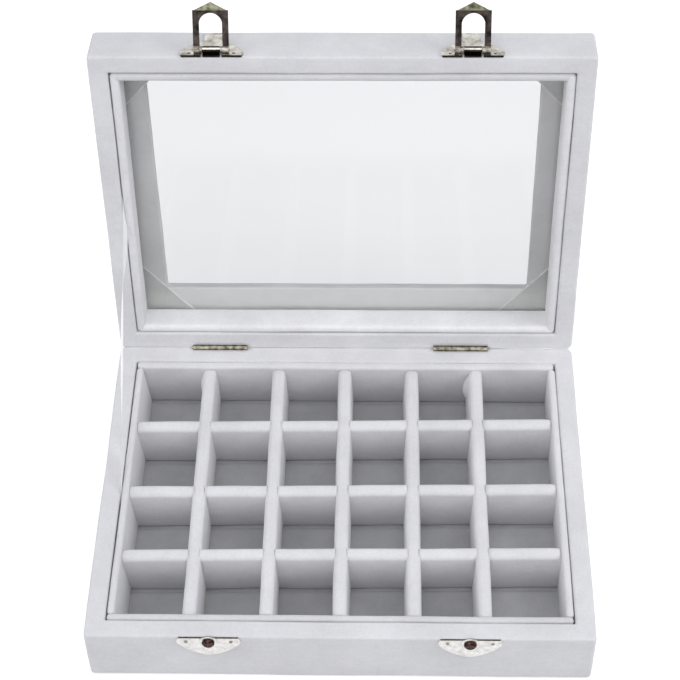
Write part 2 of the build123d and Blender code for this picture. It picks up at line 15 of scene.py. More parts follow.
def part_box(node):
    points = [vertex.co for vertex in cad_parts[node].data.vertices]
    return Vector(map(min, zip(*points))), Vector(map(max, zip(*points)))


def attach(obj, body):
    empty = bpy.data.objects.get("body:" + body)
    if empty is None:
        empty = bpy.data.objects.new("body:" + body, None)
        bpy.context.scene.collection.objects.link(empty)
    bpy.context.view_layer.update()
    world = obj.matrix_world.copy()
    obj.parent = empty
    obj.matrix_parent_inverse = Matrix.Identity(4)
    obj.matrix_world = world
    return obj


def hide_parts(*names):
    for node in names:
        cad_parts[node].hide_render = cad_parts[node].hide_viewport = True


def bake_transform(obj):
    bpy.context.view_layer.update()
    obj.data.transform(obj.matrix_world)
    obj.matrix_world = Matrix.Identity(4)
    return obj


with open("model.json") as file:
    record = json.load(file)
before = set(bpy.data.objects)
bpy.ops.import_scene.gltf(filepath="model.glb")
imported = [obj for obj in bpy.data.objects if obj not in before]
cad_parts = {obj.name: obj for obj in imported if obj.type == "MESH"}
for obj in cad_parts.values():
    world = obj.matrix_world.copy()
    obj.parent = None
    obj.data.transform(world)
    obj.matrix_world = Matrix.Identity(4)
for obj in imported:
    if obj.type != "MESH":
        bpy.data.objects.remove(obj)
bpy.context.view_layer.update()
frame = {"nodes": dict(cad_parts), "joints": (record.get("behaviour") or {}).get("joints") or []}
MM = 0.001
ORIGIN, UP, DOWN, REARWARD = (0, 0, 0), (0, 0, 1), (0, 0, -1), (0, 1, 0)
WHITE = (1, 1, 1)

# The lid's opening, read from its joint
lid_joint = next(j for j in frame["joints"] if j["name"] == "lid_hinge")
hinge_point = Vector(lid_joint["pos_m"])
open_angle = math.radians(lid_joint["range_deg"][1])
OPEN = (
    Matrix.Translation(hinge_point)
    @ Matrix.Rotation(-open_angle, 4, "X")
    @ Matrix.Translation(-hinge_point)
)
CLOSED = OPEN.inverted()
STAY = Matrix.Identity(4)


def closed_box(name):
    """Lowest and highest corner of a lid node with the lid closed."""
    corners = np.array([CLOSED @ v.co for v in frame["nodes"][name].data.vertices])
    return Vector(corners.min(0)), Vector(corners.max(0))


# Meshes
def mesh_object(name, points, faces, place=STAY, smooth=True):
    """An object in the scene, with its points moved to their place."""
    mesh = bpy.data.meshes.new(name)
    mesh.from_pydata([place @ Vector(p) for p in points], [], faces)
    mesh.validate()
    mesh.update()
    for polygon in mesh.polygons:
        polygon.use_smooth = smooth
    piece = bpy.data.objects.new(name, mesh)
    bpy.context.scene.collection.objects.link(piece)
    return piece


def dress(piece, material, body, *nodes, slot):
    """Give a piece its material and body, and hide the nodes that it stands for; the slot is not used."""
    piece.data.materials.clear()
    piece.data.materials.append(material)
    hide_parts(*nodes)
    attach(piece, body)


ARC_STEPS = 4
ROUNDEST = 0.98


def stations(half, rounding, step):
    """Coordinates from -half to half, finer over the rounding at each end."""
    edge = [rounding * math.tan(math.radians(45) * i / ARC_STEPS) for i in range(ARC_STEPS + 1)]
    flat = half - rounding
    count = max(1, round(2 * flat / step))
    middle = [-flat + 2 * flat * i / count for i in range(count + 1)]
    low = [-flat - e for e in reversed(edge[1:])]
    high = [flat + e for e in edge[1:]]
    return low + middle + high


def soft_block(size, rounding, step):
    """Points and faces of a closed block with rounded edges, centred on the origin.

    The step is one length for all three axes, or a tuple with one for each.
    """
    half = [s / 2 for s in size]
    rounding = min(rounding, min(half) * ROUNDEST)
    steps = step if isinstance(step, tuple) else (step, step, step)
    lines = [stations(h, rounding, s) for h, s in zip(half, steps)]
    index, points, faces = {}, [], []

    def vertex(p):
        key = tuple(round(c / MM, 4) for c in p)
        if key not in index:
            core = [max(-(h - rounding), min(h - rounding, c)) for h, c in zip(half, p)]
            out = Vector([c - k for c, k in zip(p, core)])
            if out.length > 0:
                out = out.normalized() * rounding
            index[key] = len(points)
            points.append([k + o for k, o in zip(core, out)])
        return index[key]

    for axis in range(3):
        u, v = [a for a in range(3) if a != axis]
        for way in (-1, 1):
            for i in range(len(lines[u]) - 1):
                for j in range(len(lines[v]) - 1):
                    quad = []
                    for di, dj in ((0, 0), (1, 0), (1, 1), (0, 1)):
                        p = [0, 0, 0]
                        p[axis] = way * half[axis]
                        p[u] = lines[u][i + di]
                        p[v] = lines[v][j + dj]
                        quad.append(vertex(p))
                    if (way > 0) == (axis == 1):
                        quad.reverse()
                    faces.append(quad)
    return points, faces


# The vector noise starts from the clock unless it is seeded
NOISE_SEED = 1
noise.seed_set(NOISE_SEED)

# Each piece's seed moves it to its own place in the noise
SEED_STEPS = (0.37, 0.71, 1.13)
BASE_SEED, LID_SEED, PAD_SEED = 3, 7, 31
TRAY_LINER_SEED, LID_LINER_SEED, CROSS_SEED, LONG_SEED = 11, 21, 41, 51
GRAIN_SIZE = 6 * MM


def roughen(points, seed, swell, grain, swell_size=34 * MM):
    """Wrapped cloth is never quite flat: a slow swell and a finer ripple on every point."""
    shift = Vector([seed * s for s in SEED_STEPS])
    moved = []
    for p in points:
        p = Vector(p)
        slow = noise.noise_vector(p / swell_size + shift)
        fine = noise.noise_vector(p / GRAIN_SIZE + shift)
        moved.append(p + slow * swell + fine * grain)
    return moved


BOARD_STEP = 2.5 * MM
BOARD_SWELL, BOARD_GRAIN = 0.22 * MM, 0.05 * MM


def soft_board(name, low, high, rounding, seed, place=STAY):
    """A cloth-wrapped board that fills the box from low to high."""
    middle = (low + high) / 2
    points, faces = soft_block(high - low, rounding, BOARD_STEP)
    points = [Vector(p) + middle for p in points]
    return mesh_object(name, roughen(points, seed, BOARD_SWELL, BOARD_GRAIN), faces, place)


# Counts of steps along a ring's side, round its corner, and round a corner of its section
SIDE_STEPS, CORNER_STEPS, PROFILE_STEPS = 120, 6, 5
SECTION_STEP = 3 * MM
WRAP_SWELL, WRAP_GRAIN = 0.25 * MM, 0.05 * MM


def ring_line(half_x, half_y, corner):
    """Points round a rectangle with rounded corners, the same number on every ring."""
    centres = ((1, -1, -90), (1, 1, 0), (-1, 1, 90), (-1, -1, 180))
    line = []
    for k, (sx, sy, start) in enumerate(centres):
        cx, cy = sx * (half_x - corner), sy * (half_y - corner)
        arc = []
        for i in range(CORNER_STEPS + 1):
            angle = math.radians(start + 90 * i / CORNER_STEPS)
            arc.append((cx + corner * math.cos(angle), cy + corner * math.sin(angle)))
        line += arc
        nx, ny, next_start = centres[(k + 1) % 4]
        angle = math.radians(next_start)
        goal = (
            nx * (half_x - corner) + corner * math.cos(angle),
            ny * (half_y - corner) + corner * math.sin(angle),
        )
        x, y = arc[-1]
        line += [
            (x + (goal[0] - x) * i / SIDE_STEPS, y + (goal[1] - y) * i / SIDE_STEPS) for i in range(1, SIDE_STEPS)
        ]
    return line


def round_profile(corners):
    """A closed section from (x, y, z, corner, radius) corners, each rounded by its radius."""
    section = []
    count = len(corners)
    for k in range(count):
        before, here, after = corners[k - 1], corners[k], corners[(k + 1) % count]
        p = Vector(here[:3])
        back, ahead = Vector(before[:3]) - p, Vector(after[:3]) - p
        radius = here[4]
        if radius <= 0:
            section.append((*p, here[3]))
            continue
        for i in range(PROFILE_STEPS + 1):
            t = i / PROFILE_STEPS
            a = p + back.normalized() * radius
            b = p + ahead.normalized() * radius
            point = a * (1 - t) ** 2 + p * 2 * t * (1 - t) + b * t**2
            section.append((*point, here[3]))
    return section


def subdivide_section(section, longest):
    """Add points to a closed section so that no step is longer than longest."""
    finer = []
    for k, here in enumerate(section):
        after = section[(k + 1) % len(section)]
        distance = (Vector(after[:3]) - Vector(here[:3])).length
        count = max(1, math.ceil(distance / longest))
        for i in range(count):
            t = i / count
            finer.append([a * (1 - t) + b * t for a, b in zip(here, after)])
    return finer


def swept_ring(name, corners, seed, press, place=STAY):
    """A closed section carried round a rectangle and pressed into shape; x and y are half sizes."""
    section = subdivide_section(round_profile(corners), SECTION_STEP)
    rings = [
        [(x, y, z) for x, y in ring_line(half_x, half_y, corner)] for half_x, half_y, z, corner in section
    ]
    around = len(rings[0])
    points = [p for ring in rings for p in ring]
    faces = []
    for i in range(len(rings)):
        for j in range(around):
            a = i * around + j
            b = i * around + (j + 1) % around
            c = ((i + 1) % len(rings)) * around + (j + 1) % around
            d = ((i + 1) % len(rings)) * around + j
            faces.append((a, b, c, d))
    points = [press(p) for p in roughen(points, seed, WRAP_SWELL, WRAP_GRAIN)]
    return mesh_object(name, points, faces, place)


# Materials
def principled(name, color, roughness, metallic=0.0):
    """A new material, its tree and its shader."""
    material = bpy.data.materials.new(name)
    material.use_nodes = True
    shader = material.node_tree.nodes["Principled BSDF"]
    shader.inputs["Base Color"].default_value = (*color, 1)
    shader.inputs["Roughness"].default_value = roughness
    shader.inputs["Metallic"].default_value = metallic
    return material, material.node_tree, shader


def node(tree, kind, **values):
    """A new shader node; each value sets the input of that name, or else the property."""
    made = tree.nodes.new(kind)
    for name, value in values.items():
        if name in made.inputs:
            made.inputs[name].default_value = value
        else:
            setattr(made, name, value)
    return made


def mapped_noise(tree, scale, detail, roughness, stretch=(1, 1, 1)):
    """A noise texture in object space, in features per metre, with its own scale on each axis."""
    place = node(tree, "ShaderNodeTexCoord")
    mapping = node(tree, "ShaderNodeMapping")
    mapping.inputs["Scale"].default_value = stretch
    texture = node(tree, "ShaderNodeTexNoise", Scale=scale, Detail=detail, Roughness=roughness)
    tree.links.new(place.outputs["Object"], mapping.inputs["Vector"])
    tree.links.new(mapping.outputs["Vector"], texture.inputs["Vector"])
    return texture.outputs["Fac"]


def ramp(tree, factor, low, high, low_color, high_color):
    """From one colour at low to another at high."""
    made = node(tree, "ShaderNodeValToRGB")
    made.color_ramp.elements[0].position = low
    made.color_ramp.elements[1].position = high
    made.color_ramp.elements[0].color = (*low_color, 1)
    made.color_ramp.elements[1].color = (*high_color, 1)
    tree.links.new(factor, made.inputs["Fac"])
    return made.outputs["Color"]


def mix_colors(tree, blend_type, a, b):
    mixed = tree.nodes.new("ShaderNodeMix")
    mixed.data_type = "RGBA"
    mixed.blend_type = blend_type
    mixed.inputs["Factor"].default_value = 1.0
    tree.links.new(a, mixed.inputs["A"])
    tree.links.new(b, mixed.inputs["B"])
    return mixed.outputs["Result"]


def bump(tree, height, strength, distance, below=None):
    made = node(tree, "ShaderNodeBump", Strength=strength, Distance=distance)
    tree.links.new(height, made.inputs["Height"])
    if below:
        tree.links.new(below, made.inputs["Normal"])
    return made.outputs["Normal"]


# Masks: 1 where they hold, 0 elsewhere, and fixed to the piece in every pose
MASK_SOFT = 0.1 * MM


def stepped(tree, value, low, high):
    """0 before low, 1 past high, and a soft step between."""
    made = node(tree, "ShaderNodeMapRange", interpolation_type="SMOOTHSTEP")
    made.inputs["From Min"].default_value = low
    made.inputs["From Max"].default_value = high
    tree.links.new(value, made.inputs["Value"])
    return made.outputs["Result"]


def both(tree, a, b):
    """1 where both masks are."""
    made = node(tree, "ShaderNodeMath", operation="MULTIPLY")
    tree.links.new(a, made.inputs[0])
    tree.links.new(b, made.inputs[1])
    return made.outputs[0]


def facing(tree, way, low=0.6, high=0.85):
    """1 where the surface faces the way, whatever pose its body is in."""
    place = node(tree, "ShaderNodeTexCoord")
    dot = node(tree, "ShaderNodeVectorMath", operation="DOT_PRODUCT")
    dot.inputs[1].default_value = way
    tree.links.new(place.outputs["Normal"], dot.inputs[0])
    return stepped(tree, dot.outputs["Value"], low, high)


def beyond(tree, origin, way, distance, soft=0.25 * MM):
    """1 past a distance from the origin along the way."""
    place = node(tree, "ShaderNodeTexCoord")
    dot = node(tree, "ShaderNodeVectorMath", operation="DOT_PRODUCT")
    dot.inputs[1].default_value = way
    tree.links.new(place.outputs["Object"], dot.inputs[0])
    start = Vector(origin).dot(Vector(way)) + distance
    return stepped(tree, dot.outputs["Value"], start - soft, start + soft)


def within(tree, origin, radius):
    """1 inside a cylinder about an axis along X through the origin."""
    place = node(tree, "ShaderNodeTexCoord")
    moved = node(tree, "ShaderNodeVectorMath", operation="SUBTRACT")
    moved.inputs[1].default_value = origin
    flat = node(tree, "ShaderNodeVectorMath", operation="MULTIPLY")
    flat.inputs[1].default_value = (0, 1, 1)
    length = node(tree, "ShaderNodeVectorMath", operation="LENGTH")
    tree.links.new(place.outputs["Object"], moved.inputs[0])
    tree.links.new(moved.outputs[0], flat.inputs[0])
    tree.links.new(flat.outputs[0], length.inputs[0])
    return stepped(tree, length.outputs["Value"], radius + MASK_SOFT, radius - MASK_SOFT)


def near_x(tree, centre, half):
    """1 within half of the centre on either side of the case's middle."""
    place = node(tree, "ShaderNodeTexCoord")
    parts = node(tree, "ShaderNodeSeparateXYZ")
    mirrored = node(tree, "ShaderNodeMath", operation="ABSOLUTE")
    moved = node(tree, "ShaderNodeMath", operation="SUBTRACT")
    moved.inputs[1].default_value = centre
    away = node(tree, "ShaderNodeMath", operation="ABSOLUTE")
    tree.links.new(place.outputs["Object"], parts.inputs[0])
    tree.links.new(parts.outputs["X"], mirrored.inputs[0])
    tree.links.new(mirrored.outputs[0], moved.inputs[0])
    tree.links.new(moved.outputs[0], away.inputs[0])
    return stepped(tree, away.outputs[0], half + MASK_SOFT, half - MASK_SOFT)


# Velvet's noises: features per metre, detail, roughness and stretch
CLOUD_NOISE = (38, 4, 0.55)
SPECK_NOISE = (900, 2, 0.6)
STREAK_NOISE = (160, 3, 0.6, (1, 1, 2.6))
NAP_NOISE = (420, 3, 0.55)
PILE_NOISE = (2600, 2, 0.6)
SPECK_SHADE, STREAK_SHADE, FOOT_SHADE = (0.945, 0.945, 0.95), (0.95, 0.95, 0.955), (0.78, 0.78, 0.785)


def velvet(name, color, cloud=0.06, sheen=0.35, foot=None):
    """Short-pile velvet: clouded where the nap lies differently, with painted shade below the foot height."""
    material, tree, shader = principled(name, color, 0.85)
    dark = [c * (1 - cloud) for c in color]
    light = [min(1, c * (1 + cloud)) for c in color]
    clouds = ramp(tree, mapped_noise(tree, *CLOUD_NOISE), 0.3, 0.7, dark, light)
    specks = ramp(tree, mapped_noise(tree, *SPECK_NOISE), 0.3, 0.62, SPECK_SHADE, WHITE)
    streaks = ramp(tree, mapped_noise(tree, *STREAK_NOISE), 0.3, 0.7, STREAK_SHADE, WHITE)
    color_out = mix_colors(tree, "MULTIPLY", clouds, specks)
    color_out = mix_colors(tree, "MULTIPLY", color_out, streaks)
    # Painted shade: below the foot height the colour darkens towards the floor
    if foot:
        above_foot = beyond(tree, ORIGIN, UP, foot, foot * 0.7)
        painted_foot_shade = ramp(tree, above_foot, 0, 1, FOOT_SHADE, WHITE)
        color_out = mix_colors(tree, "MULTIPLY", color_out, painted_foot_shade)
    tree.links.new(color_out, shader.inputs["Base Color"])
    shader.inputs["Sheen Weight"].default_value = sheen
    shader.inputs["Sheen Roughness"].default_value = 0.45
    shader.inputs["Sheen Tint"].default_value = (1, 1, 1, 1)
    shader.inputs["Specular IOR Level"].default_value = 0.15
    pile = bump(tree, mapped_noise(tree, *PILE_NOISE), 0.14, 0.12 * MM)
    nap = bump(tree, mapped_noise(tree, *NAP_NOISE), 0.16, 0.25 * MM, pile)
    tree.links.new(nap, shader.inputs["Normal"])
    return material


WEAR_NOISE = (900, 3, 0.6)
SCRATCH_NOISE = (700, 3, 0.6, (0.25, 3, 3))


def worn_metal(name, color, dark, roughness, wear_scale=420, contrast=(0.35, 0.65)):
    """Plated metal with tarnish in patches and fine scratches."""
    material, tree, shader = principled(name, color, roughness, 1.0)
    tarnish = ramp(tree, mapped_noise(tree, wear_scale, 4, 0.6), contrast[0], contrast[1], dark, color)
    tree.links.new(tarnish, shader.inputs["Base Color"])
    rough = node(tree, "ShaderNodeMapRange")
    rough.inputs["To Min"].default_value = roughness * 0.7
    rough.inputs["To Max"].default_value = min(1, roughness * 1.5)
    tree.links.new(mapped_noise(tree, *WEAR_NOISE), rough.inputs["Value"])
    tree.links.new(rough.outputs["Result"], shader.inputs["Roughness"])
    scratches = bump(tree, mapped_noise(tree, *SCRATCH_NOISE), 0.25, 0.08 * MM)
    tree.links.new(scratches, shader.inputs["Normal"])
    return material


def overlay(material, mask, dark, light, scale=700):
    """Lay another mottled colour over a material where the mask is 1."""
    tree = material.node_tree
    shader = tree.nodes["Principled BSDF"]
    below = shader.inputs["Base Color"].links[0].from_socket
    tone = ramp(tree, mapped_noise(tree, scale, 3, 0.6), 0.3, 0.7, dark, light)
    mixed = mix_colors(tree, "MIX", below, tone)
    tree.links.new(mask, mixed.node.inputs["Factor"])
    tree.links.new(mixed, shader.inputs["Base Color"])


SMEAR_NOISE = (60, 3, 0.5)
RIB_NOISE = (1500, 2, 0.5, (1, 0.15, 0.15))
FOLD_NOISE = (120, 3, 0.5)


def clear_glass(name):
    """Clear pane that lets the lamps through it."""
    material, tree, shader = principled(name, (0.75, 0.75, 0.75), 0.02)
    shader.inputs["Transmission Weight"].default_value = 1.0
    shader.inputs["IOR"].default_value = 1.28
    smear = bump(tree, mapped_noise(tree, *SMEAR_NOISE), 0.05, 0.05 * MM)
    tree.links.new(smear, shader.inputs["Normal"])
    output = tree.nodes["Material Output"]
    open_air = node(tree, "ShaderNodeBsdfTransparent", Color=(0.93, 0.95, 0.95, 1))
    path = node(tree, "ShaderNodeLightPath")
    mixed = node(tree, "ShaderNodeMixShader")
    tree.links.new(path.outputs["Is Shadow Ray"], mixed.inputs["Fac"])
    tree.links.new(shader.outputs["BSDF"], mixed.inputs[1])
    tree.links.new(open_air.outputs["BSDF"], mixed.inputs[2])
    tree.links.new(mixed.outputs["Shader"], output.inputs["Surface"])
    return material


def satin(name, color):
    """White satin ribbon with fine crosswise ribs."""
    material, tree, shader = principled(name, color, 0.38)
    shader.inputs["Sheen Weight"].default_value = 0.7
    # Painted light: a faint white glow brightens the ribbon, standing in for light through the weave
    shader.inputs["Emission Color"].default_value = (1, 1, 1, 1)
    shader.inputs["Emission Strength"].default_value = 0.1
    ribs = mapped_noise(tree, *RIB_NOISE)
    tree.links.new(bump(tree, ribs, 0.3, 0.05 * MM), shader.inputs["Normal"])
    clouds = ramp(tree, mapped_noise(tree, *FOLD_NOISE), 0.3, 0.7, [c * 0.94 for c in color], color)
    tree.links.new(clouds, shader.inputs["Base Color"])
    return material


# Below this height the tray's velvet gets painted shade
TRAY_FOOT = 14 * MM
# One velvet covers the whole case; these copies are painted lighter or darker for the light each place gets: the
# rear lid liner is a lit copy, the front liners and the floor are shaded copies
CASE_VELVET = velvet("case_velvet", (0.70, 0.695, 0.71))
PATCH_VELVET = velvet("patch_velvet", (0.66, 0.67, 0.66))
TRAY_VELVET = velvet("tray_velvet", (0.715, 0.71, 0.725), foot=TRAY_FOOT)
LINER_VELVET = velvet("liner_velvet", (0.74, 0.735, 0.75))
FRONT_LINER_SHADED_VELVET = velvet("front_liner_velvet", (0.66, 0.655, 0.67))
REAR_LINER_LIT_VELVET = velvet("rear_liner_velvet", (0.85, 0.845, 0.86))
TRAY_LIP_SHADED_VELVET = velvet("tray_lip_shaded_velvet", (0.655, 0.65, 0.665), foot=TRAY_FOOT)
FLOOR_SHADED_VELVET = velvet("floor_velvet", (0.485, 0.485, 0.495), cloud=0.12, sheen=0.15)
UNDER_CLOTH = velvet("under_cloth", (0.30, 0.30, 0.32), sheen=0.1)
GLASS = clear_glass("window_glass")
BRONZE = worn_metal("dark_bronze", (0.36, 0.335, 0.26), (0.12, 0.105, 0.075), 0.35, 330, (0.3, 0.7))
NICKEL = worn_metal("bright_nickel", (0.76, 0.745, 0.73), (0.56, 0.54, 0.52), 0.30, 560)
HASP_NICKEL = worn_metal("hasp_nickel", (0.78, 0.765, 0.72), (0.30, 0.285, 0.24), 0.24, 300, (0.32, 0.66))
LOOP_METAL = worn_metal("dark_loop", (0.065, 0.052, 0.048), (0.010, 0.008, 0.007), 0.34, 300)
STUD = worn_metal("dark_stud", (0.075, 0.042, 0.034), (0.008, 0.005, 0.004), 0.30, 1100, (0.42, 0.58))
CATCH_NAIL = worn_metal("catch_nail", (0.34, 0.31, 0.29), (0.16, 0.14, 0.13), 0.3)
SATIN = satin("satin_ribbon", (0.94, 0.94, 0.945))

# Colour pairs, dark and light, of worn spots and of painted light and shade
PAINTED_BLACK_SHADE = ((0.008, 0.007, 0.007), (0.03, 0.025, 0.02))
UP_EDGE_PAINTED_SHADE = ((0.02, 0.02, 0.018), (0.12, 0.11, 0.10))
BARREL_PAINTED_REFLECTION = ((0.03, 0.025, 0.018), (0.10, 0.085, 0.06))
BARREL_PAINTED_HIGHLIGHT = ((0.42, 0.40, 0.34), (0.80, 0.77, 0.70))
HINGE_WORN = ((0.05, 0.045, 0.03), (0.50, 0.465, 0.37))
EYES_PAINTED_HIGHLIGHT = ((0.07, 0.06, 0.05), (0.50, 0.47, 0.42))
TIP_BRIGHT = ((0.05, 0.05, 0.025), (0.27, 0.275, 0.20))
LEDGE_PAINTED_LIGHT = ((0.84, 0.835, 0.85), (0.90, 0.895, 0.91))
CUT_PALE = ((0.80, 0.80, 0.79), (0.92, 0.92, 0.91))

# Painted shade: the catch plates' upward faces, the hasp plates' faces towards the rim, the strap below the
# hasp's barrel and a band along the hasp's straight edge are darkened as if in shadow
OPEN_TURN = OPEN.to_3x3()
TO_RIM = OPEN_TURN @ Vector(DOWN)
OUTWARD = OPEN_TURN @ Vector((0, -1, 0))
hasp_joint = next(j for j in frame["joints"] if j["name"] == "hasp_right_hinge")
PIVOT = Vector(hasp_joint["pos_m"])
KNUCKLE_HALF = 3.4 * MM
STRAP_START = 0.3 * MM
STRAIGHT_EDGE, STRAIGHT_SOFT = 1.95 * MM, 0.12 * MM
BARREL_REACH = 1.6 * MM
hasp_tree = HASP_NICKEL.node_tree
overlay(NICKEL, facing(NICKEL.node_tree, UP), *UP_EDGE_PAINTED_SHADE)
overlay(HASP_NICKEL, facing(hasp_tree, TO_RIM), *PAINTED_BLACK_SHADE)
knuckle = near_x(hasp_tree, PIVOT.x, KNUCKLE_HALF)
strap = both(hasp_tree, knuckle, beyond(hasp_tree, PIVOT, TO_RIM, STRAP_START))
overlay(HASP_NICKEL, strap, *PAINTED_BLACK_SHADE)
overlay(HASP_NICKEL, beyond(hasp_tree, PIVOT, TO_RIM, STRAIGHT_EDGE, STRAIGHT_SOFT), *PAINTED_BLACK_SHADE)

# Painted reflection and highlight: the hasp's barrel is darkened as if it reflected dark surroundings, with a
# painted highlight along it and painted shade beneath it
HIGHLIGHT_TO_RIM, HIGHLIGHT_OUTWARD = 0.85, 0.75
HIGHLIGHT_SPREAD, UNDER_SPREAD = (0.93, 0.97), (0.86, 0.90)
barrel = both(hasp_tree, knuckle, within(hasp_tree, PIVOT, BARREL_REACH))
overlay(HASP_NICKEL, barrel, *BARREL_PAINTED_REFLECTION)
highlight_way = (TO_RIM * HIGHLIGHT_TO_RIM + OUTWARD * HIGHLIGHT_OUTWARD).normalized()
barrel_highlight = both(hasp_tree, barrel, facing(hasp_tree, highlight_way, *HIGHLIGHT_SPREAD))
overlay(HASP_NICKEL, barrel_highlight, *BARREL_PAINTED_HIGHLIGHT)
under_barrel_shade = both(hasp_tree, barrel, facing(hasp_tree, TO_RIM, *UNDER_SPREAD))
overlay(HASP_NICKEL, under_barrel_shade, *PAINTED_BLACK_SHADE)

# The hinge barrels are worn in patches
HINGE_BARREL = 1.3 * MM
HINGE_WEAR_SCALE = 520
overlay(BRONZE, within(BRONZE.node_tree, hinge_point, HINGE_BARREL), *HINGE_WORN, HINGE_WEAR_SCALE)

# Painted highlight: the loop's eyes are painted light as if they caught the light; the bent tip is lighter too
HASP_LEAN = math.radians(20)
LOOP_WAY = OPEN_TURN @ Vector((0, -math.cos(HASP_LEAN), math.sin(HASP_LEAN)))
EYE_RADIUS, EYE_SOFT = 1.25 * MM, 0.15 * MM
LOOP_BEND = 14.8 * MM
TIP_START, TIP_SOFT = LOOP_BEND + 0.5 * MM, 0.2 * MM
TIP_WEAR_SCALE = 420
loop_tree = LOOP_METAL.node_tree
eyes = beyond(loop_tree, PIVOT, -LOOP_WAY, -EYE_RADIUS, EYE_SOFT)
overlay(LOOP_METAL, eyes, *EYES_PAINTED_HIGHLIGHT)
tip = beyond(loop_tree, PIVOT, LOOP_WAY, TIP_START, TIP_SOFT)
overlay(LOOP_METAL, tip, *TIP_BRIGHT, TIP_WEAR_SCALE)

# Base: one velvet wrap round the four wall boards
left_low, left_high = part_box("base_left_wall")
front_low, front_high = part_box("base_front_wall")
base_x, base_y = -left_low.x, -front_low.y
inner_x, inner_y = -left_high.x, -front_high.y
base_top, base_foot = left_high.z, left_low.z
CASE_CORNER = 1.5 * MM
INNER_CORNER = 0.6 * MM
RIM_OUT = 1.3 * MM
RIM_IN = 1.5 * MM
FOOT = 0.7 * MM

# The velvet gives way round the two hinge barrels
leaf_boxes = [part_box(f"hinge_{side}_base_leaf") for side in ("left", "right")]
TROUGH_PLAY = 0.2 * MM
TROUGH_STEP = 1.6 * MM
TROUGH_RADIUS = 1.45 * MM
TROUGH_WALL = 0.02 * MM
HINGE_REACH = 3 * MM
LIP_END = 1.3 * MM
SEAM_PLAY = 0.02 * MM
trough_ends = [x for low, high in leaf_boxes for x in (low.x - TROUGH_PLAY, high.x + TROUGH_PLAY)]


def press_rear_edge(point, rim, way):
    """Square off the rear edge so that base and lid meet at the hinge line, clear of the barrels."""
    beside = any(low.x - TROUGH_PLAY < point.x < high.x + TROUGH_PLAY for low, high in leaf_boxes)
    away = Vector((0, point.y - hinge_point.y, point.z - hinge_point.z))
    # Points near a trough's end gather on either side of it, so that the step is sharp
    if away.length < HINGE_REACH:
        for end in trough_ends:
            if abs(point.x - end) < TROUGH_STEP:
                point.x = end + math.copysign(TROUGH_WALL, point.x - end)
    if beside:
        if away.length > TROUGH_RADIUS:
            return point
        out = away.normalized() * TROUGH_RADIUS
        return Vector((point.x, hinge_point.y + out.y, hinge_point.z + out.z))
    a = point.y - (base_y - RIM_OUT)
    b = way * (point.z - rim) + RIM_OUT
    if min(a, b) <= 0 or abs(point.x) > base_x - LIP_END:
        return point
    square = math.hypot(a, b) / max(a, b)
    fullness = min(a, b) / max(a, b)
    y = base_y - RIM_OUT + a * square + fullness * (hinge_point.y - base_y)
    z = rim + way * (b * square - RIM_OUT) + fullness * (hinge_point.z - rim)
    return Vector((point.x, min(y, hinge_point.y), way * min(way * z, way * hinge_point.z)))


def press_base(point):
    """Keep the base's rim below the seam."""
    point = press_rear_edge(point, base_top, 1)
    point.z = min(point.z, hinge_point.z - SEAM_PLAY)
    return point


case_corners = [
    (base_x, base_y, base_foot, CASE_CORNER, FOOT),
    (base_x, base_y, base_top, CASE_CORNER, RIM_OUT),
    (inner_x, inner_y, base_top, INNER_CORNER, RIM_IN),
    (inner_x, inner_y, base_foot, INNER_CORNER, 0),
]
base_wrap = swept_ring("base_velvet_wrap", case_corners, BASE_SEED, press_base)
dress(
    base_wrap, CASE_VELVET, "base",
    "base_front_wall", "base_rear_wall", "base_left_wall", "base_right_wall",
    slot="velvet_board",
)

# Lid: one velvet wrap over its walls and window frame
frame_low, frame_high = closed_box("lid_window_frame")
rim_low = closed_box("lid_left_wall")[0]
ledge_z = frame_low.z
FACE_MARGIN = 1 * MM
LEAST_BORDER = 12 * MM


def window_edges(axis):
    """Both edges of the window's opening, from the frame's vertices between its two faces."""
    corners = [CLOSED @ v.co for v in frame["nodes"]["lid_window_frame"].data.vertices]
    between = [c for c in corners if ledge_z + FACE_MARGIN < c.z < frame_high.z - FACE_MARGIN]
    edge = (base_x, base_y)[axis] - LEAST_BORDER
    inside = [c[axis] for c in between if abs(c[axis]) < edge]
    return min(inside), max(inside)


window_x = window_edges(0)[1]
window_front, window_rear = window_edges(1)
window_y = (window_rear - window_front) / 2
window_shift = (window_rear + window_front) / 2
WINDOW_CORNER = 0.8 * MM
WINDOW_EDGE = 1.3 * MM
TOP_EDGE = 1.5 * MM
lid_corners = [
    (base_x, base_y, rim_low.z, CASE_CORNER, RIM_OUT),
    (inner_x, inner_y, rim_low.z, INNER_CORNER, RIM_IN),
    (inner_x, inner_y, ledge_z, INNER_CORNER, 0),
    (window_x, window_y, ledge_z, WINDOW_CORNER, WINDOW_EDGE),
    (window_x, window_y, frame_high.z, WINDOW_CORNER, WINDOW_EDGE),
    (base_x, base_y, frame_high.z, CASE_CORNER, TOP_EDGE),
]
PATCH_ROOM = 0.6 * MM
WINDOW_WIDER = 1.4 * MM


def press_lid(point):
    """Keep the rim above the seam, put the window in its place and leave the ledge flat for the glass."""
    point = press_rear_edge(point, rim_low.z, -1)
    point.z = max(point.z, hinge_point.z + SEAM_PLAY)
    if point.z < ledge_z - FACE_MARGIN:
        return point
    across = (base_x - abs(point.x)) / (base_x - window_x)
    along = (base_y - abs(point.y)) / (base_y - window_y)
    point.y += window_shift * max(0, min(1, across, along))
    widen = WINDOW_WIDER if point.x > 0 else WINDOW_WIDER * (window_y - point.y) / (2 * window_y)
    point.x += widen * max(0, min(1, across)) * max(-1, min(1, point.x / window_x))
    if abs(point.z - ledge_z) < PATCH_ROOM and abs(point.x) < inner_x and abs(point.y) < inner_y:
        point.z = max(point.z, ledge_z)
    return point


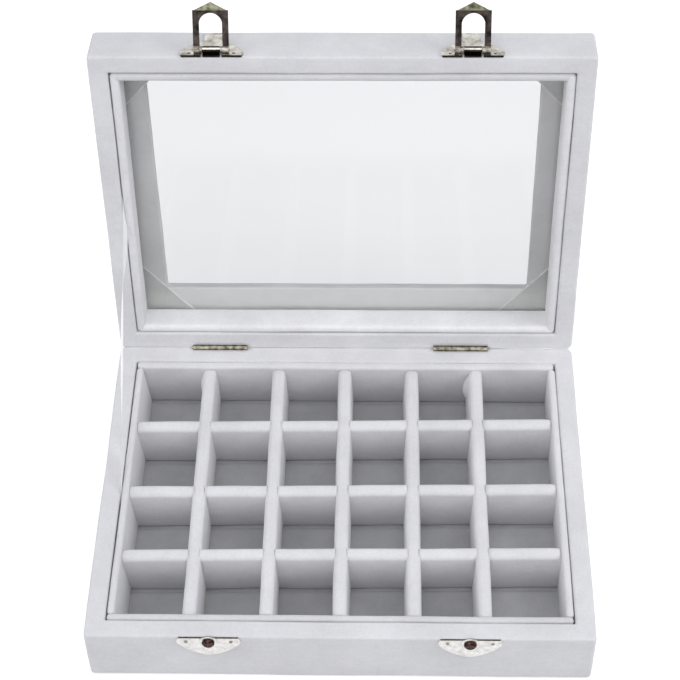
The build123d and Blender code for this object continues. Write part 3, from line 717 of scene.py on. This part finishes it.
lid_wrap = swept_ring("lid_velvet_wrap", lid_corners, LID_SEED, press_lid, OPEN)
dress(
    lid_wrap, CASE_VELVET, "lid",
    "lid_front_wall", "lid_rear_wall", "lid_left_wall", "lid_right_wall", "lid_window_frame",
    slot="velvet_board",
)

# Painted light: the ledge beside the hinges is painted paler than the others, as if it caught more light
case_tree = CASE_VELVET.node_tree
ledge_foot = (OPEN @ Vector((0, inner_y, ledge_z))).z
ledge_head = (OPEN @ Vector((0, window_rear, ledge_z))).z
FOOT_OVERRUN, HEAD_OVERRUN = 0.5 * MM, 1 * MM
LEDGE_MOTTLE_SCALE = 160
in_height = both(
    case_tree,
    beyond(case_tree, ORIGIN, UP, ledge_foot - FOOT_OVERRUN),
    beyond(case_tree, ORIGIN, DOWN, -ledge_head - HEAD_OVERRUN),
)
behind_rim = (OPEN @ Vector((0, inner_y, (ledge_z + rim_low.z) / 2))).y
on_ledge = both(case_tree, beyond(case_tree, ORIGIN, REARWARD, behind_rim), facing(case_tree, TO_RIM))
overlay(CASE_VELVET, both(case_tree, in_height, on_ledge), *LEDGE_PAINTED_LIGHT, LEDGE_MOTTLE_SCALE)

# The patches' cut edges run across the window's corners and show pale
PATCH_SLOPE = 1.15
CUT_EDGE = 0.45 * MM
CUT_SOFT = 0.3
patch_tree = PATCH_VELVET.node_tree
patch_place = node(patch_tree, "ShaderNodeTexCoord")
patch_parts = []
for way in (Vector((PATCH_SLOPE, 0, 0)), OPEN_TURN @ Vector(REARWARD)):
    dot = node(patch_tree, "ShaderNodeVectorMath", operation="DOT_PRODUCT")
    dot.inputs[1].default_value = way
    patch_tree.links.new(patch_place.outputs["Object"], dot.inputs[0])
    middle = node(patch_tree, "ShaderNodeMath", operation="SUBTRACT")
    middle.inputs[1].default_value = (OPEN @ Vector((0, window_shift, 0))).dot(way)
    patch_tree.links.new(dot.outputs["Value"], middle.inputs[0])
    away = node(patch_tree, "ShaderNodeMath", operation="ABSOLUTE")
    patch_tree.links.new(middle.outputs[0], away.inputs[0])
    patch_parts.append(away.outputs[0])
patch_sum = node(patch_tree, "ShaderNodeMath", operation="ADD")
for part, socket in zip(patch_parts, patch_sum.inputs):
    patch_tree.links.new(part, socket)
cut_line = PATCH_SLOPE * window_x + window_y
cut_width = CUT_EDGE * math.hypot(PATCH_SLOPE, 1)
cut_from, cut_to = cut_line + cut_width * (1 + CUT_SOFT), cut_line + cut_width * (1 - CUT_SOFT)
overlay(PATCH_VELVET, stepped(patch_tree, patch_sum.outputs[0], cut_from, cut_to), *CUT_PALE)

# Liners and floor pad
TO_WALL = {"front": (0, -1, 0), "rear": (0, 1, 0), "left": (-1, 0, 0), "right": (1, 0, 0)}
TRAY_FILL = {"front": 0.2 * MM, "rear": 0.85 * MM, "left": 0.0, "right": 0.35 * MM}
LID_FILL = {"front": 0.3 * MM, "rear": 0.35 * MM, "left": 0.25 * MM, "right": 0.25 * MM}
TRAY_LINER_ROUNDING, LID_LINER_ROUNDING = 1.3 * MM, 1.65 * MM
LEFT_FLARE = 2.0 * MM
# Painted light and shade: some liners take the lighter or darker copies of the velvet
TRAY_SHADED_COPIES = {"front": TRAY_LIP_SHADED_VELVET}
LID_LIT_AND_SHADED_COPIES = {"front": FRONT_LINER_SHADED_VELVET, "rear": REAR_LINER_LIT_VELVET}


def fattened(box, side, reach):
    """The box with its wall side moved out, as velvet fills the joint beside a board."""
    low, high = box
    push = Vector(TO_WALL[side]) * reach
    low = low + Vector([min(0, c) for c in push])
    high = high + Vector([max(0, c) for c in push])
    return low, high


for number, side in enumerate(("front", "rear", "left", "right")):
    low, high = fattened(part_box(f"tray_{side}_liner"), side, TRAY_FILL[side])
    board = soft_board(f"tray_{side}_liner_velvet", low, high, TRAY_LINER_ROUNDING, TRAY_LINER_SEED + number)
    if side == "left":
        # Its inner face stands out further towards the foot
        for vertex in board.data.vertices:
            if vertex.co.x > (low.x + high.x) / 2:
                vertex.co.x += LEFT_FLARE * (high.z - vertex.co.z) / (high.z - low.z)
    dress(board, TRAY_SHADED_COPIES.get(side, TRAY_VELVET), "base", f"tray_{side}_liner", slot="velvet_board")
    low, high = fattened(closed_box(f"lid_{side}_liner"), side, LID_FILL[side])
    board = soft_board(f"lid_{side}_liner_velvet", low, high, LID_LINER_ROUNDING, LID_LINER_SEED + number, OPEN)
    dress(board, LID_LIT_AND_SHADED_COPIES.get(side, LINER_VELVET), "lid", f"lid_{side}_liner", slot="velvet_board")

# How velvet and padding fatten each kind of divider, and how far it stands askew
LONG_PAD = {"top_pad": 0.5 * MM, "foot_pad": 1.5 * MM, "tuck": 1.022}
CROSS_PAD = {"top_pad": 0.75 * MM, "foot_pad": 0.9 * MM, "tuck": 1.016}
CROSS_PAD |= {"shift": 0.7 * MM, "skew": 0.014, "slope": 0.9 * MM}

# The floor pad sinks away at the foot of each board that crosses the tray
PAD_ROUNDING = 0.4 * MM
PAD_STEPS = (2.5 * MM, 0.6 * MM, 2.5 * MM)
PAD_SWELL, PAD_GRAIN = 0.12 * MM, 0.04 * MM
FOOT_REACH, FOOT_OFFSET = 0.9 * MM, 0.3 * MM
SINK_DEPTH, SINK_SWING = 0.55, 0.35
SINK_SIZE, SINK_LAYER = 9 * MM, 0.5
low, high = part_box("tray_floor_pad")
points, faces = soft_block(high - low, PAD_ROUNDING, PAD_STEPS)
points = roughen([Vector(p) + (low + high) / 2 for p in points], PAD_SEED, PAD_SWELL, PAD_GRAIN)
foot_lines = [(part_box("tray_rear_liner")[0].y, 0.0)]
for number in (1, 2, 3):
    foot_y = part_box(f"divider_cross_{number}")[0].y - CROSS_PAD["foot_pad"] + CROSS_PAD["shift"]
    foot_lines.append((foot_y, CROSS_PAD["skew"]))
for point in points:
    for foot_y, skew in foot_lines:
        away = abs(foot_y + skew * point.x - FOOT_OFFSET - point.y) / FOOT_REACH
        if away < 1 and point.z > (low.z + high.z) / 2:
            spot = Vector((point.x / SINK_SIZE, foot_y / SINK_SIZE, SINK_LAYER))
            depth = SINK_DEPTH + SINK_SWING * noise.noise(spot)
            point.z -= (high.z - low.z) * depth * (1 - away * away)
pad = mesh_object("tray_floor_pad_velvet", points, faces)
dress(pad, FLOOR_SHADED_VELVET, "base", "tray_floor_pad", slot="velvet_pad")


# Dividers: soft boards with round upper corners, half lapped where they cross
def round_ends(points, half_length, top, radius, along):
    """Pull the square upper corners of a board in to quarter circles."""
    moved = []
    for p in points:
        p = Vector(p)
        a = abs(p[along]) - (half_length - radius)
        b = p.z - (top - radius)
        if a > 0 and b > 0:
            pull = max(a, b) / math.hypot(a, b)
            p[along] = math.copysign(half_length - radius + a * pull, p[along])
            p.z = top - radius + b * pull
        moved.append(p)
    return moved


SHARP, ONE_STEP = 0.001 * MM, 1


def cut_slots(piece, boxes):
    """Cut box-shaped slots out of a piece."""
    for low, high in boxes:
        points, faces = soft_block(high - low, SHARP, ONE_STEP)
        middle = (low + high) / 2
        cutter = mesh_object("cutter", [Vector(p) + middle for p in points], faces, smooth=False)
        cut = piece.modifiers.new("slot", "BOOLEAN")
        cut.operation = "DIFFERENCE"
        cut.object = cutter
        cut.solver = "EXACT"
        graph = bpy.context.evaluated_depsgraph_get()
        graph.update()
        done = bpy.data.meshes.new_from_object(piece.evaluated_get(graph))
        old = piece.data
        piece.modifiers.clear()
        piece.data = done
        done.name = piece.name
        bpy.data.meshes.remove(old)
        bpy.data.objects.remove(cutter)


long_nodes = [f"divider_long_{i}" for i in range(1, 6)]
cross_nodes = [f"divider_cross_{i}" for i in range(1, 4)]
DIVIDER_CORNER = 3.0 * MM
CROSS_ROUNDING, LONG_ROUNDING = 1.5 * MM, 1.8 * MM
DIVIDER_STEP = 2.2 * MM
DIVIDER_SWELL, DIVIDER_GRAIN, DIVIDER_SWELL_SIZE = 0.28 * MM, 0.06 * MM, 22 * MM
TOP_SHARE = 0.8
LAP_PLAY = 0.1 * MM
SLOT_OVERRUN = 2 * MM
LOOSE_INSET, LOOSE_DROP = 0.5 * MM, 1.5 * MM
LOOSE_HALF_WIDTH, LOOSE_HALF_HEIGHT = 2.6 * MM, 7.0 * MM
LOOSE_VELVET = {"divider_long_5": 2.1 * MM, "divider_long_1": 1.2 * MM}


def padded_board(points, low, high, across, top_pad, foot_pad, tuck, shift=0.0, skew=0.0, slope=0.0):
    """Velvet and padding thicken a divider towards its foot, and it stands a little askew.

    The tuck lengthens it into its neighbours, and the slope lowers one side of its top.
    """
    half = (high[across] - low[across]) / 2
    padded = []
    for p in points:
        p = Vector(p)
        height = (p.z - low.z) / (high.z - low.z)
        side = (p[across] - (low[across] + high[across]) / 2) / half
        pad = foot_pad + (top_pad - foot_pad) * height
        p[across] += side * pad + shift + skew * p.x
        p[1 - across] *= tuck
        if height > TOP_SHARE:
            p.z -= slope * (1 - side) ** 2 / 4
        padded.append(p)
    return padded


def loosen(points, middle_x, rear_y, top_z, reach):
    """Let the velvet stand loose on the left of a board's rear end."""
    for p in points:
        if p.x < middle_x:
            along = (p.y - rear_y + LOOSE_HALF_WIDTH) / LOOSE_HALF_WIDTH
            down = (p.z - top_z + LOOSE_HALF_HEIGHT) / LOOSE_HALF_HEIGHT
            p.x -= reach * max(0, 1 - along**2 - down**2) ** 0.5
    return points


def divider_piece(name, along, rounding, seed, padding):
    """A divider in its node's place, with its long axis along x (0) or y (1)."""
    low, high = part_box(name)
    middle = (low + high) / 2
    points, faces = soft_block(high - low, rounding, DIVIDER_STEP)
    points = [Vector(p) + middle for p in points]
    offset = Vector(ORIGIN)
    offset[along] = middle[along]
    half = (high[along] - low[along]) / 2
    rounded = round_ends([p - offset for p in points], half, high.z, DIVIDER_CORNER, along)
    points = padded_board([p + offset for p in rounded], low, high, 1 - along, **padding)
    if name in LOOSE_VELVET:
        points = loosen(points, middle.x, high.y - LOOSE_INSET, high.z - LOOSE_DROP, LOOSE_VELVET[name])
    points = roughen(points, seed, DIVIDER_SWELL, DIVIDER_GRAIN, DIVIDER_SWELL_SIZE)
    piece = mesh_object(f"{name}_velvet", points, faces)
    dress(piece, TRAY_VELVET, "base", name, slot="velvet_board")
    return piece


lap_low, lap_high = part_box("divider_long_1")
lap_z = (lap_low.z + lap_high.z) / 2
for number, name in enumerate(cross_nodes):
    piece = divider_piece(name, 0, CROSS_ROUNDING, CROSS_SEED + number, CROSS_PAD)
    own_low, own_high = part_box(name)
    slots = []
    for long_name in long_nodes:
        low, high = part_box(long_name)
        slots.append((
            Vector((low.x - LAP_PLAY, own_low.y - SLOT_OVERRUN, lap_z)),
            Vector((high.x + LAP_PLAY, own_high.y + SLOT_OVERRUN, own_high.z + SLOT_OVERRUN)),
        ))
    cut_slots(piece, slots)
for number, name in enumerate(long_nodes):
    divider_piece(name, 1, LONG_ROUNDING, LONG_SEED + number, LONG_PAD)

# Fittings, glass, patches and underside keep their solids; the first match gives the material
BY_NAME = {
    "catch_nails": CATCH_NAIL,
    "glass_pane": GLASS,
    "window_corner_patches": PATCH_VELVET,
    "underside_cover": UNDER_CLOTH,
    "base_floor_panel": UNDER_CLOTH,
}
BY_ENDING = {"_loop": LOOP_METAL, "_stud": STUD}
BY_START = {"hinge": BRONZE, "catch": NICKEL, "hasp": HASP_NICKEL}
for name, thing in frame["nodes"].items():
    matches = [m for whole, m in BY_NAME.items() if name == whole]
    matches += [m for end, m in BY_ENDING.items() if name.endswith(end)]
    matches += [m for start, m in BY_START.items() if name.startswith(start)]
    if matches:
        for place in thing.material_slots:
            place.material = matches[0]

# Ribbon stay
ribbon_low, ribbon_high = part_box("lid_stay_ribbon")
ribbon_points = np.array([v.co for v in frame["nodes"]["lid_stay_ribbon"].data.vertices])
ribbon_middle = (ribbon_low + ribbon_high) / 2
flat_points = (ribbon_points - np.array(ribbon_middle))[:, 1:]
main_way = np.linalg.svd(flat_points, full_matrices=False)[2][0]
main_way = main_way * np.sign(main_way[1])
ribbon_way = Vector((0, *main_way))
ribbon_across = Vector((0, -main_way[1], main_way[0]))
RIBBON_LENGTH = float(np.ptp(flat_points @ main_way))
RIBBON_WIDTH = float(np.ptp(flat_points @ np.array([-main_way[1], main_way[0]])))
ribbon_mesh_points, ribbon_faces = [], []
LONG_STEPS, WIDE_STEPS = 60, 8
SIDEWAYS = Vector((1, 0, 0))

# It twists and cups between its ends, and turns back and bows near the lid; places are shares of its length
TWIST_DEGREES, TURN_DEGREES = 14, 7
TURN_PLACE, TURN_REACH = 0.8, 0.09
CUP_DEPTH, BOW_DEPTH = 0.8 * MM, 0.9 * MM
BOW_PLACE, BOW_REACH = 0.83, 0.1


def swelling(t, place, reach):
    """1 at the place, falling away on both sides of it."""
    return math.exp(-(((t - place) / reach) ** 2))


for i in range(LONG_STEPS + 1):
    t = i / LONG_STEPS
    turn = TURN_DEGREES * swelling(t, TURN_PLACE, TURN_REACH)
    twist = math.radians(TWIST_DEGREES * math.sin(math.pi * t) ** 2 - turn)
    cup = -CUP_DEPTH * math.sin(math.pi * t)
    station = ribbon_middle + ribbon_way * RIBBON_LENGTH * (t - 0.5)
    across = ribbon_across * math.cos(twist) + SIDEWAYS * math.sin(twist)
    for j in range(WIDE_STEPS + 1):
        s = j / WIDE_STEPS - 0.5
        side = RIBBON_WIDTH * s
        bow = SIDEWAYS * (cup * (1 - s * s) + BOW_DEPTH * swelling(t, BOW_PLACE, BOW_REACH))
        ribbon_mesh_points.append(station + across * side + bow)
for i in range(LONG_STEPS):
    for j in range(WIDE_STEPS):
        a = i * (WIDE_STEPS + 1) + j
        ribbon_faces.append((a, a + 1, a + WIDE_STEPS + 2, a + WIDE_STEPS + 1))
ribbon = mesh_object("lid_stay_satin", ribbon_mesh_points, ribbon_faces)
ribbon.data.materials.append(SATIN)
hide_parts("lid_stay_ribbon")
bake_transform(ribbon)


# Floor: white to the eye, dimmed where the object shades it
def seen_rays(tree):
    """1 for a ray from the eye, straight, mirrored or through glass."""
    path = node(tree, "ShaderNodeLightPath")
    unbroken = node(tree, "ShaderNodeMath", operation="ADD")
    seen = node(tree, "ShaderNodeMath", operation="ADD", use_clamp=True)
    tree.links.new(path.outputs["Is Camera Ray"], unbroken.inputs[0])
    tree.links.new(path.outputs["Is Glossy Ray"], unbroken.inputs[1])
    tree.links.new(unbroken.outputs[0], seen.inputs[0])
    tree.links.new(path.outputs["Is Transmission Ray"], seen.inputs[1])
    return seen.outputs[0]


FLOOR_HALF = 3.0
FLOOR_DROP = 0.2 * MM
FLOOR_GLOW = 0.5
floor_corners = [(x * FLOOR_HALF, y * FLOOR_HALF, 0) for x, y in ((-1, -1), (1, -1), (1, 1), (-1, 1))]
floor = mesh_object("floor", floor_corners, [(0, 1, 2, 3)])
floor.location.z = -FLOOR_DROP
floor_material, floor_tree, floor_shader = principled("pale_floor", (0.66, 0.66, 0.66), 0.9)
floor_glow = node(floor_tree, "ShaderNodeEmission")
floor_gain = node(floor_tree, "ShaderNodeMath", operation="MULTIPLY")
floor_gain.inputs[1].default_value = FLOOR_GLOW
floor_add = node(floor_tree, "ShaderNodeAddShader")
link = floor_tree.links.new
link(seen_rays(floor_tree), floor_gain.inputs[0])
link(floor_gain.outputs[0], floor_glow.inputs["Strength"])
link(floor_glow.outputs["Emission"], floor_add.inputs[0])
link(floor_shader.outputs["BSDF"], floor_add.inputs[1])
link(floor_add.outputs["Shader"], floor_tree.nodes["Material Output"].inputs["Surface"])
floor.data.materials.append(floor_material)

# World: white where it is seen, a plain soft fill elsewhere
world = bpy.data.worlds.new("studio")
bpy.context.scene.world = world
world.use_nodes = True
world_tree = world.node_tree
world_tree.nodes.clear()
fill = node(world_tree, "ShaderNodeBackground", Color=(0.93, 0.95, 1.0, 1), Strength=0.62)
white = node(world_tree, "ShaderNodeBackground", Color=(1, 1, 1, 1), Strength=1.0)
world_mix = node(world_tree, "ShaderNodeMixShader")
world_output = node(world_tree, "ShaderNodeOutputWorld")
link = world_tree.links.new
link(seen_rays(world_tree), world_mix.inputs["Fac"])
link(fill.outputs[0], world_mix.inputs[1])
link(white.outputs[0], world_mix.inputs[2])
link(world_mix.outputs[0], world_output.inputs["Surface"])


# Lamps
def area_lamp(name, place, aim, size, power):
    """A round white lamp that points from its place to the aim."""
    data = bpy.data.lights.new(name, "AREA")
    data.shape = "DISK"
    data.size = size
    data.energy = power
    lamp = bpy.data.objects.new(name, data)
    lamp.location = place
    lamp.rotation_euler = (Vector(aim) - Vector(place)).to_track_quat("-Z", "Y").to_euler()
    bpy.context.scene.collection.objects.link(lamp)


area_lamp("top_lamp", (-0.3, -0.35, 1.35), (0, 0, 0.05), size=0.9, power=2.9)
area_lamp("front_lamp", (-0.15, -1.1, 0.62), (0, 0, 0.06), size=0.9, power=2.6)
area_lamp("left_lamp", (-1.05, -0.15, 0.6), (0, 0, 0.06), size=0.8, power=2.4)
area_lamp("right_lamp", (0.98, -0.15, 0.85), (0, 0, 0.06), size=0.8, power=6.0)

# Camera at the photograph's viewpoint
PHOTO_SIZE = 680
FOCAL_PIXELS = 1806.1
SENSOR = 36.0
camera_data = bpy.data.cameras.new("camera")
camera_data.sensor_width = SENSOR
camera_data.lens = FOCAL_PIXELS / PHOTO_SIZE * SENSOR
camera = bpy.data.objects.new("camera", camera_data)
camera.location = (0.015906, -0.455110, 0.628787)
camera.rotation_euler = (0.727940, 0.0140466, 0.0186577)
bpy.context.scene.collection.objects.link(camera)
bpy.context.scene.camera = camera
bpy.context.scene.view_settings.view_transform = "Standard"
